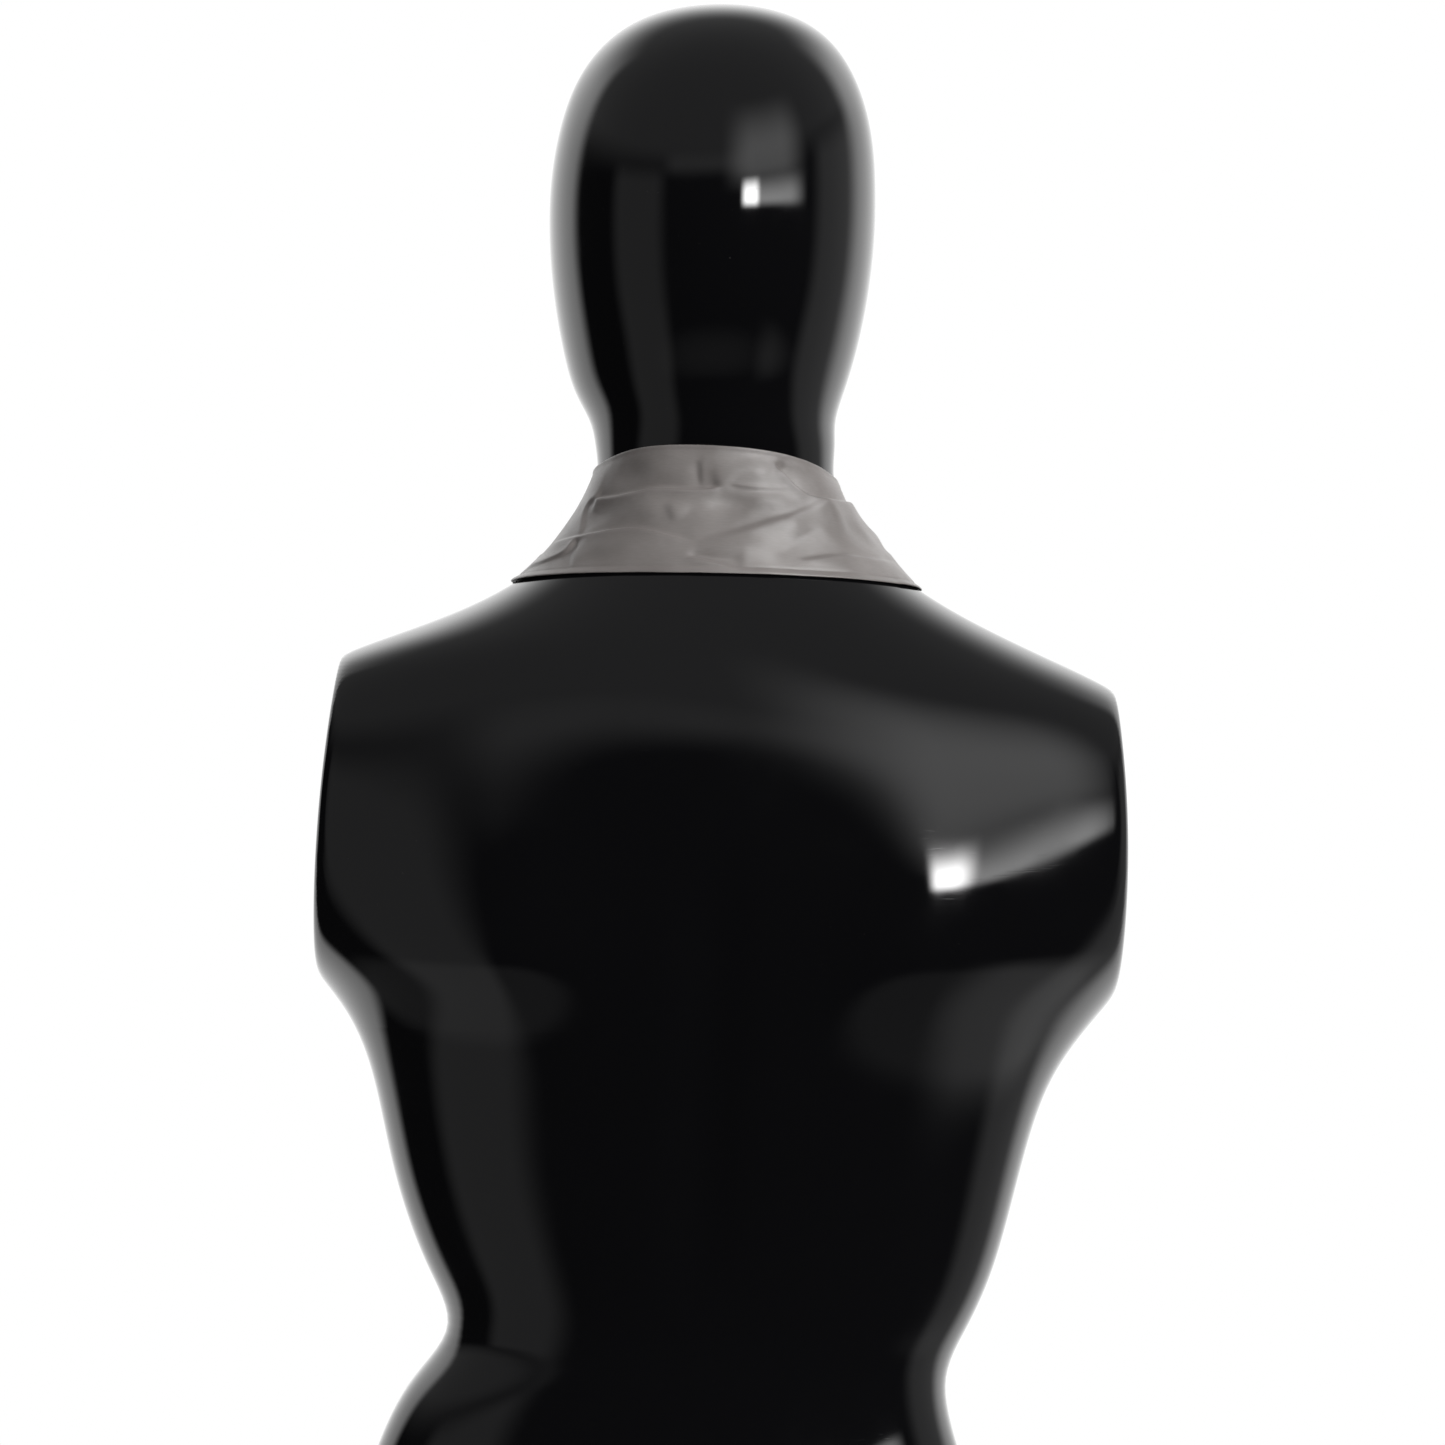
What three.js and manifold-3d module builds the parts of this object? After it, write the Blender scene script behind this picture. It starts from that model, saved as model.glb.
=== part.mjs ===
// A silk neck scarf worn by a limbless display form.
// Millimetres, +Z up. The origin is the middle of the form's flat base. The back of the neck
// faces -Y and the throat faces +Y, so the scarf's smooth stretch is on the -Y side and its
// knot and tails are on the +Y side.

import * as THREE from 'three';
import Module from 'manifold-3d';

const wasm = await Module();
wasm.setup();

// ---------- the cloth ----------
const BAND_WALL = 1.2;          // the scarf folded lengthwise, two plies and the air between
const TAIL_WALL = 1.6;
const BAND_RISE = 68;           // hem to fold, measured up the cloth at the back of the neck
const BAND_COLUMNS = 84;
const BAND_ROWS = 12;
const TAIL_COLUMNS = 12;
const TAIL_ROWS = 20;
const NECK_SHIFT = -3;          // the neck stands a little to the left of the base's middle
const REST = 1.2;               // from the form's skin to the cloth that lies on it

// ---------- the form ----------
const RING_POINTS = 52;
const RING_STEP = 0.75;         // one ring for this share of the way between two sections

// Sections of the form from the base up: height, reach to the left, reach to the right, how far
// forward the middle of the section lies, depth behind that middle, depth before it, and the
// fullness of the corners, where 2 is an ellipse.
const FORM_SECTIONS = [
  [0, 196, 141, 0, 88, 94, 2.4],          // base, through the hips
  [60, 191, 136, 0, 81, 96, 2.4],
  [110, 177, 119, 0, 76.5, 96, 2.35],
  [145, 160, 110, 0, 76.5, 95, 2.3],
  [170, 133, 125, 0, 75, 94, 2.3],         // waist
  [200, 151, 139, 0, 78, 95, 2.3],
  [245, 167, 150, -2, 85, 100, 2.35],
  [290, 175, 162, -4, 93, 110, 2.35],
  [318, 183, 180, -6, 98, 117, 2.25],
  [342, 197, 202, -8, 101, 122, 2.15],     // under the arms
  [370, 224, 224, -10, 103, 125, 2.1],
  [410, 243, 240, -12, 104, 124, 2.05],    // chest and shoulder blades
  [452, 243, 240, -14, 101, 116, 2],
  [486, 230, 218, -15, 95, 103, 2],
  [509, 207, 168, -16, 88, 92, 2],
  [526, 155, 132, -16, 80, 82, 2],         // shoulders
  [540, 120, 107, -16, 72, 73, 2],
  [554, 97, 87, -15, 63, 66, 2],
  [570, 78, 71, -13, 55, 63, 2],
  [588, 65.5, 58.5, -9, 50, 61, 2],        // neck
  [606, 63, 56, -3, 52.5, 61, 2],
  [620, 65, 58, 3, 60, 72, 2],
  [632, 67, 57, 8, 67.5, 92, 2],
  [646, 76, 62, 11, 73.5, 101, 2],           // jaw and nape
  [664, 81, 68, 12, 82, 106, 2.05],
  [690, 86, 74, 12, 92, 110, 2.1],
  [720, 89, 78, 12, 96, 113, 2.1],
  [752, 89, 79, 12, 96, 112, 2.1],         // widest part of the head
  [782, 84, 77, 12, 90, 104, 2.1],
  [808, 75, 69, 12, 78, 88, 2.05],
  [828, 59, 56, 12, 59, 66, 2],
  [840, 39, 37, 12, 36, 40, 2],
  [845.5, 14, 13, 12, 13, 14, 2],          // crown
];

// The shoulder blades stand out from those sections, and the spine lies in a shallow furrow.
const BLADE = {
  height: 366, above: 62, below: 36, reach: 10.5, fromSpine: 112, towardsSpine: 48, towardsArm: 120,
};
const FURROW = { depth: 5.2, width: 13 };

// The arms are cut off along two shallow domes, which face left and right.
const ARM_CUTS = [
  { side: -1, reach: 206, height: 375, dome: 700 },
  { side: 1, reach: 205.5, height: 415, dome: 440 },
];
const ARM_CUT_DEPTH = -12;      // y of the middle of each arm cut
const CUTTER_RADIUS = 150;      // wider than either arm
const CUTTER_DEPTH = 60;
const CUTTER_RINGS = 8;
const CUTTER_POINTS = 40;

// ---------- curves ----------
// One point of a uniform cubic B-spline, at u spans from its first row.
function splineRow(rows, u) {
  const first = Math.min(Math.max(Math.floor(u), 0), rows.length - 4);
  const f = u - first;
  const weights = [
    (1 - f) ** 3 / 6,
    (3 * f ** 3 - 6 * f ** 2 + 4) / 6,
    (-3 * f ** 3 + 3 * f ** 2 + 3 * f + 1) / 6,
    f ** 3 / 6,
  ];
  return rows[first].map((_, column) =>
    weights.reduce((sum, weight, k) => sum + weight * rows[first + k][column], 0));
}

// Adds a row at each end, so that the spline starts and stops at the given end rows.
function extendEnds(rows) {
  const beyond = (end, next) => end.map((value, column) => 2 * value - next[column]);
  return [beyond(rows[0], rows[1]), ...rows, beyond(rows.at(-1), rows.at(-2))];
}

function smoothStep(from, to, value) {
  const t = Math.min(Math.max((value - from) / (to - from), 0), 1);
  return t * t * (3 - 2 * t);
}

// ---------- the form's skin ----------
// Past the crown the sections mirror themselves, so the skin closes smoothly on its axis.
function crownMirror(row) {
  return row.map((value, column) => ([1, 2, 4, 5].includes(column) ? -value : value));
}

const FORM_ROWS = [
  extendEnds(FORM_SECTIONS)[0],
  ...FORM_SECTIONS,
  crownMirror(FORM_SECTIONS.at(-1)),
  crownMirror(FORM_SECTIONS.at(-2)),
];
const CROWN = FORM_SECTIONS.length - 0.5;   // spans from the base to the crown's closing point

function formSection(u) {
  const [height, left, right, middle, back, front, fullness] = splineRow(FORM_ROWS, u);
  return { height, left, right, middle, back, front, fullness };
}

function roundedPower(value, fullness) {
  return Math.sign(value) * Math.abs(value) ** (2 / fullness);
}

// How far the skin of the back stands out from the plain section.
function backRelief(x, height) {
  const spine = -14 + 11 * smoothStep(150, 420, height);
  const alongSpine = smoothStep(170, 250, height) * (1 - smoothStep(360, 430, height));
  let relief = -FURROW.depth * alongSpine * Math.exp(-(((x - spine) / FURROW.width) ** 2));
  for (const side of [-1, 1]) {
    const offset = side * (x - spine) - BLADE.fromSpine;
    const across = offset / (offset > 0 ? BLADE.towardsArm : BLADE.towardsSpine);
    const up = (height - BLADE.height) / (height > BLADE.height ? BLADE.above : BLADE.below);
    relief += BLADE.reach * Math.exp(-(across ** 2) - up ** 2);
  }
  return relief;
}

function formPoint(section, angle) {
  const centre = (section.right - section.left) / 2;
  const halfWidth = (section.right + section.left) / 2;
  const across = roundedPower(Math.cos(angle), section.fullness);
  const along = roundedPower(Math.sin(angle), section.fullness);
  const x = centre + halfWidth * across;
  const y = section.middle + (along < 0 ? section.back : section.front) * along;
  const onBack = 1 - smoothStep(-70, -20, y);
  return new THREE.Vector3(x, y - onBack * backRelief(x, section.height), section.height);
}

// How far forward the front of the form reaches at a place on the chest.
function chestDepth(x, height) {
  let low = 0;
  let high = CROWN;
  for (let step = 0; step < 30; step += 1) {
    const middle = (low + high) / 2;
    if (formSection(middle).height < height) low = middle;
    else high = middle;
  }
  const section = formSection(low);
  const centre = (section.right - section.left) / 2;
  const halfWidth = (section.right + section.left) / 2;
  const across = Math.min(Math.abs((x - centre) / halfWidth), 1);
  const rise = (1 - across ** section.fullness) ** (1 / section.fullness);
  return section.middle + section.front * rise;
}

// ---------- closed solids ----------
function circleOfPoints(count, pointAt) {
  return Array.from({ length: count }, (_, k) => pointAt((2 * Math.PI * k) / count));
}

// Joins closed rings, listed from bottom to top and anticlockwise seen from above.
function loftSolid(rings) {
  const count = rings[0].length;
  const positions = rings.flat();
  const faces = [];
  for (let ring = 0; ring + 1 < rings.length; ring += 1) {
    for (let k = 0; k < count; k += 1) {
      const next = (k + 1) % count;
      const a = ring * count + k;
      const b = ring * count + next;
      faces.push([a, b, b + count], [a, b + count, a + count]);
    }
  }
  const lid = (ring, facesUp) => {
    const middle = new THREE.Vector3();
    ring.forEach((point) => middle.addScaledVector(point, 1 / count));
    const apex = positions.push(middle) - 1;
    const first = positions.indexOf(ring[0]);
    for (let k = 0; k < count; k += 1) {
      const pair = [first + k, first + ((k + 1) % count)];
      faces.push(facesUp ? [apex, ...pair] : [apex, pair[1], pair[0]]);
    }
  };
  lid(rings[0], false);
  lid(rings.at(-1), true);
  return makeGeometry(positions, faces);
}

// A cloth wall behind a grid of points: columns run along the first index, rows run up the
// second, and the wall is laid on the far side from columns x rows.
function clothWall(grid, wall) {
  const columns = grid.length;
  const rows = grid[0].length;
  const at = (i, j) => grid[Math.min(Math.max(i, 0), columns - 1)][Math.min(Math.max(j, 0), rows - 1)];
  const outer = [];
  const inner = [];
  for (let i = 0; i < columns; i += 1) {
    for (let j = 0; j < rows; j += 1) {
      const along = at(i + 1, j).clone().sub(at(i - 1, j));
      const up = at(i, j + 1).clone().sub(at(i, j - 1));
      const normal = along.cross(up).normalize();
      outer.push(grid[i][j]);
      inner.push(grid[i][j].clone().addScaledVector(normal, -wall));
    }
  }
  const back = outer.length;
  const faces = [];
  const quad = (a, b, c, d) => faces.push([a, b, c], [a, c, d]);
  const node = (i, j) => i * rows + j;
  for (let i = 0; i + 1 < columns; i += 1) {
    for (let j = 0; j + 1 < rows; j += 1) {
      const corners = [node(i, j), node(i + 1, j), node(i + 1, j + 1), node(i, j + 1)];
      quad(...corners);
      quad(...corners.map((corner) => back + corner).reverse());
    }
  }
  const edge = (a, b) => quad(a, back + a, back + b, b);
  for (let i = 0; i + 1 < columns; i += 1) {
    edge(node(i, 0), node(i + 1, 0));
    edge(node(i + 1, rows - 1), node(i, rows - 1));
  }
  for (let j = 0; j + 1 < rows; j += 1) {
    edge(node(0, j + 1), node(0, j));
    edge(node(columns - 1, j), node(columns - 1, j + 1));
  }
  return makeGeometry([...outer, ...inner], faces);
}

function makeGeometry(points, faces) {
  const geometry = new THREE.BufferGeometry();
  geometry.setAttribute('position',
    new THREE.Float32BufferAttribute(points.flatMap((point) => point.toArray()), 3));
  geometry.setIndex(faces.flat());
  return geometry;
}

// ---------- the band round the neck ----------
// The right half of the hem and of the folded top edge, from the back of the neck round to the
// throat, as spline points from the neck's own middle.
const HEM_HALF = [
  [0, -82.9, 552.3], [40.5, -79, 552.3], [75.6, -63.4, 551.4], [98.9, -41.6, 549.8], [107.3, -14, 547.6],
  [101.4, 16, 546.3], [84, 41.5, 542.6], [50, 61, 539], [20.5, 66, 545],
];
const FOLD_HALF = [
  [0, -61.5, 616], [26, -58, 615.4], [46, -46, 611.8], [59.5, -26, 605.6], [64.4, 0, 600.6],
  [60, 25, 594.5], [48, 44, 586.5], [32, 56, 578], [19.6, 62, 568],
];
const HEM_TILT = -0.021;        // the scarf hangs a little lower on the right
const FOLD_TILT = -0.054;
const HALF_SPANS = HEM_HALF.length - 1;
const HOLLOW = 4;               // how far the band draws in between its two edges
const HOLLOW_LEFT = 2;          // and how much more on the left than on the right

function wholeEdge(half, tilt) {
  const left = half.slice(1).reverse().map(([x, y, z]) => [-x, y, z]);
  const placed = [...left, ...half].map(([x, y, z]) => [x + NECK_SHIFT, y, z + tilt * x]);
  return extendEnds(placed);
}

const HEM_EDGE = wholeEdge(HEM_HALF, HEM_TILT);
const FOLD_EDGE = wholeEdge(FOLD_HALF, FOLD_TILT);

// The largest creases. A line lists [turn, rise]: degrees round the neck from the middle of the
// back, right positive, and millimetres up from the hem. A trough has a negative depth.
const MM_PER_DEGREE = 1.35;
const BAND_CREASES = [
  { depth: -1.4, width: 4, line: [[-60, 45], [-40, 46], [-24, 48], [-6, 47], [3, 49]] },
  { depth: -1.8, width: 4, line: [[28, 60], [34, 54], [41, 50], [55, 51], [81, 56]] },
  { depth: 1.6, width: 6, line: [[56, 44], [46, 42], [32, 34], [12, 24], [-8, 15]] },
  { depth: 1.2, width: 5, line: [[-8, 15], [-27, 22], [-50, 21], [-66, 20]] },
  { depth: -2, width: 6, line: [[-60, 38], [-52, 32], [-44, 34]] },
  { depth: 1.4, width: 4, line: [[-80, 6], [-64, 6], [-57, 9]] },
  { depth: 2.2, width: 6, line: [[178, 31], [150, 33], [120, 35], [92, 35]] },
  { depth: -2.2, width: 5, line: [[178, 24], [150, 22], [118, 22], [96, 23]] },
  { depth: 2.2, width: 6, line: [[-178, 33], [-150, 35], [-122, 41], [-100, 40]] },
  { depth: -2.2, width: 5, line: [[-178, 22], [-150, 22], [-124, 26], [-96, 21]] },
];

function distanceToLine(turn, rise, line) {
  let nearest = Infinity;
  for (let k = 0; k + 1 < line.length; k += 1) {
    const [startX, startY] = [line[k][0] * MM_PER_DEGREE, line[k][1]];
    const [runX, runY] = [line[k + 1][0] * MM_PER_DEGREE - startX, line[k + 1][1] - startY];
    const [toX, toY] = [turn * MM_PER_DEGREE - startX, rise - startY];
    const share = Math.min(Math.max((toX * runX + toY * runY) / (runX ** 2 + runY ** 2), 0), 1);
    nearest = Math.min(nearest, Math.hypot(toX - share * runX, toY - share * runY));
  }
  return nearest;
}

function bandRelief(turn, rise) {
  return BAND_CREASES.reduce((sum, crease) => {
    const distance = distanceToLine(turn, rise, crease.line);
    return sum + crease.depth * Math.exp(-((distance / crease.width) ** 2));
  }, 0);
}

// The band's outer face at a turn round the neck and a share of the way up from the hem.
function bandPoint(turn, share) {
  const spans = (turn / 180 + 1) * HALF_SPANS;
  const hem = new THREE.Vector3(...splineRow(HEM_EDGE, spans));
  const fold = new THREE.Vector3(...splineRow(FOLD_EDGE, spans));
  const point = hem.lerp(fold, share);
  const outward = new THREE.Vector3(point.x - NECK_SHIFT, point.y + 8, 0).normalize();
  const towardsFront = Math.max(Math.abs(turn) - 90, 0) * Math.PI / 180;
  const leftness = Math.min(Math.max(-turn / 90, -1), 1) * Math.cos(towardsFront);
  const clearOfKnot = smoothStep(0, 24, 180 - Math.abs(turn));
  const hollow = (HOLLOW + HOLLOW_LEFT * leftness) * clearOfKnot;
  const drawnIn = hollow * 4 * share * (1 - share) * (1 - 0.35 * (share - 0.5));
  const clearOfEdges = smoothStep(0, 0.12, share) * smoothStep(0, 0.12, 1 - share);
  const relief = bandRelief(turn, share * BAND_RISE) * clearOfEdges * clearOfKnot;
  return point.addScaledVector(outward, relief - drawnIn);
}

function bandGeometry() {
  const grid = [];
  for (let i = 0; i <= BAND_COLUMNS; i += 1) {
    const turn = -180 + (360 * i) / BAND_COLUMNS;
    grid.push(Array.from({ length: BAND_ROWS + 1 }, (_, j) => bandPoint(turn, j / BAND_ROWS)));
  }
  return clothWall(grid, BAND_WALL);
}

// ---------- the tails on the chest ----------
const FAN_HEIGHT = 562;         // the tails' pleats all run from this point behind the knot
const FAN_PLEAT = 13;           // degrees from one pleat to the next
const TAIL_TOP = 527;
const TAIL_UNDER = { end: 352, lean: -0.2, halfWidth: 34, top: 12 };
const TAIL_OVER = { end: 334, lean: 0.1, halfWidth: 35, top: 12 };
const LAYER = 3.4;              // from the under tail's outer face to the over tail's

// The pleats of both tails are one fan, so that the tails nest in each other.
function fanRelief(x, height) {
  const distance = Math.hypot(x - NECK_SHIFT, FAN_HEIGHT - height);
  const bearing = Math.atan2(x - NECK_SHIFT, FAN_HEIGHT - height) * 180 / Math.PI;
  const depth = 3.2 * (1 - smoothStep(50, 210, distance)) + 0.5;
  return depth * (0.5 + 0.5 * Math.cos((2 * Math.PI * bearing) / FAN_PLEAT));
}

// The middle and half width of a tail at a height, both in x.
function tailSpread(tail, height) {
  const down = TAIL_TOP - height;
  const halfWidth = tail.top + (tail.halfWidth - tail.top) * smoothStep(-25, 75, down);
  return { middle: NECK_SHIFT + tail.lean * down, halfWidth };
}

function tailGeometry(tail, liftAt) {
  const grid = [];
  for (let i = 0; i <= TAIL_COLUMNS; i += 1) {
    const across = 1 - (2 * i) / TAIL_COLUMNS;
    const column = [];
    for (let j = 0; j <= TAIL_ROWS; j += 1) {
      const level = tail.end + ((TAIL_TOP - tail.end) * j) / TAIL_ROWS;
      const spread = tailSpread(tail, level);
      const x = spread.middle + across * spread.halfWidth;
      const height = level + tail.lean * across * spread.halfWidth * (1 - j / TAIL_ROWS);
      const y = chestDepth(x, height) + REST + TAIL_WALL + fanRelief(x, height) + liftAt(x, height);
      column.push(new THREE.Vector3(x, y, height));
    }
    grid.push(column);
  }
  return clothWall(grid, TAIL_WALL);
}

// The over tail climbs onto the under tail where the two cross.
function overTailLift(x, height) {
  const under = tailSpread(TAIL_UNDER, height);
  return LAYER * (1 - smoothStep(4, 18, x - under.middle - under.halfWidth));
}

// ---------- the knot ----------
const KNOT_RING_POINTS = 28;
const KNOT_RINGS = 12;
const KNOT_BOTTOM = 529;
const KNOT_TOP = 572;
const KNOT_HALF_WIDTH = 19;
const KNOT_DEPTH = 25;
const KNOT_BACK = 59;           // y of the back of its top, clear of the throat
const KNOT_SWAY = 8.5;          // how much further forward its bottom lies, on the chest
const KNOT_CORNERS = 2.6;       // fullness of its sections, where 2 is an ellipse

function knotGeometry() {
  const rings = [];
  for (let j = 0; j <= KNOT_RINGS; j += 1) {
    const swing = (j / KNOT_RINGS) * Math.PI;
    const share = (1 - Math.cos(swing)) / 2;
    const height = KNOT_BOTTOM + (KNOT_TOP - KNOT_BOTTOM) * share;
    const plumpness = 0.62 + 0.38 * Math.sin(swing) ** 0.7;
    const back = KNOT_BACK + KNOT_SWAY * (1 - share) ** 1.3 + 3 * (1 - plumpness);
    rings.push(circleOfPoints(KNOT_RING_POINTS, (angle) => new THREE.Vector3(
      NECK_SHIFT + KNOT_HALF_WIDTH * plumpness * roundedPower(Math.cos(angle), KNOT_CORNERS),
      back + KNOT_DEPTH * plumpness * (roundedPower(Math.sin(angle), KNOT_CORNERS) + 1) / 2,
      height,
    )));
  }
  return loftSolid(rings);
}

// ---------- the form as one solid ----------
function formGeometry() {
  const rings = [];
  const ringCount = Math.round(CROWN / RING_STEP);
  for (let j = 0; j < ringCount; j += 1) {
    const section = formSection((CROWN * j) / ringCount);
    rings.push(circleOfPoints(RING_POINTS, (angle) => formPoint(section, angle)));
  }
  let form = toManifold(loftSolid(rings));
  for (const cut of ARM_CUTS) form = form.subtract(toManifold(armCutter(cut)));
  return fromManifold(form);
}

// A round block whose inner face is hollowed to the dome of an arm cut.
function armCutter(cut) {
  const rings = [];
  const disc = (radius, height) => circleOfPoints(CUTTER_POINTS, (angle) =>
    new THREE.Vector3(radius * Math.cos(angle), radius * Math.sin(angle), height));
  for (let j = 1; j <= CUTTER_RINGS; j += 1) {
    const radius = (CUTTER_RADIUS * j) / CUTTER_RINGS;
    rings.push(disc(radius, -(radius ** 2) / (2 * cut.dome)));
  }
  rings.push(disc(CUTTER_RADIUS, CUTTER_DEPTH));
  const block = loftSolid(rings);
  block.rotateY(cut.side * Math.PI / 2);
  block.translate(cut.side * cut.reach, ARM_CUT_DEPTH, cut.height);
  return block;
}

function toManifold(geometry) {
  return new wasm.Manifold(new wasm.Mesh({
    numProp: 3,
    vertProperties: geometry.getAttribute('position').array,
    triVerts: new Uint32Array(geometry.getIndex().array),
  }));
}

function fromManifold(solid) {
  const mesh = solid.getMesh();
  const geometry = new THREE.BufferGeometry();
  geometry.setAttribute('position', new THREE.BufferAttribute(mesh.vertProperties, 3));
  geometry.setIndex(new THREE.BufferAttribute(mesh.triVerts, 1));
  return geometry;
}

// ---------- the scene graph ----------
const silk = () => new THREE.MeshStandardMaterial({ color: 0x8f8884, roughness: 0.42, metalness: 0 });
const lacquer = new THREE.MeshStandardMaterial({ color: 0x0a0a0b, roughness: 0.08, metalness: 0 });

function named(name, geometry, material) {
  const mesh = new THREE.Mesh(geometry, material);
  mesh.name = name;
  return mesh;
}

const scarfOnForm = new THREE.Group();
scarfOnForm.add(
  named('form', formGeometry(), lacquer),
  named('neck_band', bandGeometry(), silk()),
  named('knot', knotGeometry(), silk()),
  named('tail_under', tailGeometry(TAIL_UNDER, () => 0), silk()),
  named('tail_over', tailGeometry(TAIL_OVER, overTailLift), silk()),
);

export default scarfOnForm;
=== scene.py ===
"""A silk neck scarf on a limbless display form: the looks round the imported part.

The back of the neck faces -Y, the throat faces +Y. The tables are in millimetres, as the part's
own are, and MM turns them into Blender's metres.
"""

import math

import bpy
import numpy as np
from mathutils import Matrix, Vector, noise


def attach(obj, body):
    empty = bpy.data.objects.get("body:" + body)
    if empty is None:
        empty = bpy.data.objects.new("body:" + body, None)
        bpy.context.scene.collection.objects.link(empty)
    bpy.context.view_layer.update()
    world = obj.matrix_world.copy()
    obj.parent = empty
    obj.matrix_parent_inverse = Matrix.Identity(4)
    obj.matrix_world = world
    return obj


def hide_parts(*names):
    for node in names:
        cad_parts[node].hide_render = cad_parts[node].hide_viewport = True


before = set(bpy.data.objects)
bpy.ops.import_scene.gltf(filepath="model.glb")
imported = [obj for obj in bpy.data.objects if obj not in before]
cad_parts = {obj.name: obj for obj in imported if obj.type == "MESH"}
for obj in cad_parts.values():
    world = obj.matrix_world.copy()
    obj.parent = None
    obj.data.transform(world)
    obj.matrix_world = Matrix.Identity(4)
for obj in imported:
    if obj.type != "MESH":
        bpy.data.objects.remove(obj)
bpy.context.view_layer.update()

MM = 0.001


# ---------- curves ----------
def smooth_step(low, high, value):
    t = np.clip((np.asarray(value, float) - low) / (high - low), 0, 1)
    return t * t * (3 - 2 * t)


def spline(rows, u):
    """Points of a uniform cubic B-spline, at u spans from its first row."""
    u = np.asarray(u, float)
    first = np.clip(np.floor(u).astype(int), 0, len(rows) - 4)
    f = (u - first)[..., None]
    return ((1 - f) ** 3 * rows[first]
            + (3 * f ** 3 - 6 * f ** 2 + 4) * rows[first + 1]
            + (-3 * f ** 3 + 3 * f ** 2 + 3 * f + 1) * rows[first + 2]
            + f ** 3 * rows[first + 3]) / 6


def extend_ends(rows):
    """Adds a row at each end, so that the spline starts and stops at the given end rows."""
    rows = np.asarray(rows, float)
    return np.vstack([2 * rows[0] - rows[1], rows, 2 * rows[-1] - rows[-2]])


def rounded_power(value, fullness):
    return np.sign(value) * np.abs(value) ** (2 / fullness)


# ---------- meshes ----------
def make_piece(name, points, faces, material, uvs=None):
    """A smooth mesh object from points in millimetres, its faces turned outwards."""
    mesh = bpy.data.meshes.new(name)
    mesh.from_pydata((np.asarray(points) * MM).tolist(), [], faces)
    mesh.update()
    if enclosed_volume(mesh) < 0:
        mesh.flip_normals()
    if uvs is not None:
        layer = mesh.uv_layers.new(name="cloth")
        corners = np.empty(len(mesh.loops), dtype=np.int32)
        mesh.loops.foreach_get("vertex_index", corners)
        layer.data.foreach_set("uv", np.asarray(uvs, float)[corners].ravel())
    mesh.shade_smooth()
    mesh.materials.append(material)
    piece = bpy.data.objects.new(name, mesh)
    bpy.context.scene.collection.objects.link(piece)
    return piece


def enclosed_volume(mesh):
    """Volume inside a closed mesh, negative when its faces are turned inwards."""
    mesh.calc_loop_triangles()
    places = np.empty(len(mesh.vertices) * 3)
    mesh.vertices.foreach_get("co", places)
    triangles = np.empty(len(mesh.loop_triangles) * 3, dtype=np.int32)
    mesh.loop_triangles.foreach_get("vertices", triangles)
    a, b, c = places.reshape(-1, 3)[triangles.reshape(-1, 3)].transpose(1, 0, 2)
    return float(np.einsum("ij,ij->", a, np.cross(b, c)) / 6)


def ring_faces(ring_count, point_count):
    """Quads between closed rings, each listed one after the other."""
    faces = []
    for ring in range(ring_count - 1):
        start = ring * point_count
        for k in range(point_count):
            after = (k + 1) % point_count
            faces.append((start + k, start + after,
                          start + after + point_count, start + k + point_count))
    return faces


def lofted_piece(name, rings, material):
    """A closed solid through rings, with a flat fan over its first and last."""
    ring_count, point_count = rings.shape[:2]
    points = np.vstack([rings.reshape(-1, 3), rings[0].mean(axis=0), rings[-1].mean(axis=0)])
    faces = ring_faces(ring_count, point_count)
    last = (ring_count - 1) * point_count
    low_middle = ring_count * point_count
    for k in range(point_count):
        after = (k + 1) % point_count
        faces.append((low_middle, after, k))
        faces.append((low_middle + 1, last + k, last + after))
    return make_piece(name, points, faces, material)


def surface_normals(grid):
    """Unit vectors at right angles to a grid of points, at each of them."""
    along = np.gradient(grid, axis=0)
    across = np.gradient(grid, axis=1)
    normals = np.cross(along, across)
    return normals / np.linalg.norm(normals, axis=2, keepdims=True)


EDGE_POINTS = 3                 # points round each rounded edge of a cloth


def cloth_piece(name, grid, wall, material):
    """A closed cloth shell behind a grid of outer points, with its long edges rounded."""
    normals = surface_normals(grid)
    inner = grid - wall * normals
    swings = np.linspace(0, math.pi, EDGE_POINTS + 2)[1:-1]

    def edge(side):
        outward = grid[:, side] - grid[:, -2 if side else 1]
        outward /= np.linalg.norm(outward, axis=1, keepdims=True)
        middle = (grid[:, side] + inner[:, side]) / 2
        return np.stack([middle + wall / 2 * (math.cos(s) * normals[:, side] + math.sin(s) * outward)
                         for s in swings], axis=1)

    loops = np.concatenate([grid, edge(-1), inner[:, ::-1], edge(0)[:, ::-1]], axis=1)
    columns, rows = grid.shape[:2]
    loop_size = loops.shape[1]
    last = (columns - 1) * loop_size
    cap = end_cap(rows, loop_size)
    faces = ring_faces(columns, loop_size)
    faces += [face[::-1] for face in cap]
    faces += [tuple(last + k for k in face) for face in cap]
    return make_piece(name, loops.reshape(-1, 3), faces, material, cloth_uvs(grid, loop_size))


def end_cap(rows, loop_size):
    """Faces that close an end of a cloth shell, from its outer rows across to its inner ones."""
    partner = 2 * rows + EDGE_POINTS - 1
    cap = [(j, j + 1, partner - j - 1, partner - j) for j in range(rows - 1)]
    cap.append(tuple(range(rows - 1, rows + EDGE_POINTS + 1)))
    cap.append((*range(partner, loop_size), 0))
    return cap


def distance_along(points):
    """How far along a line of points each one lies, from 0 at the first."""
    return np.insert(np.cumsum(np.linalg.norm(np.diff(points, axis=0), axis=1)), 0, 0)


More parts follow.
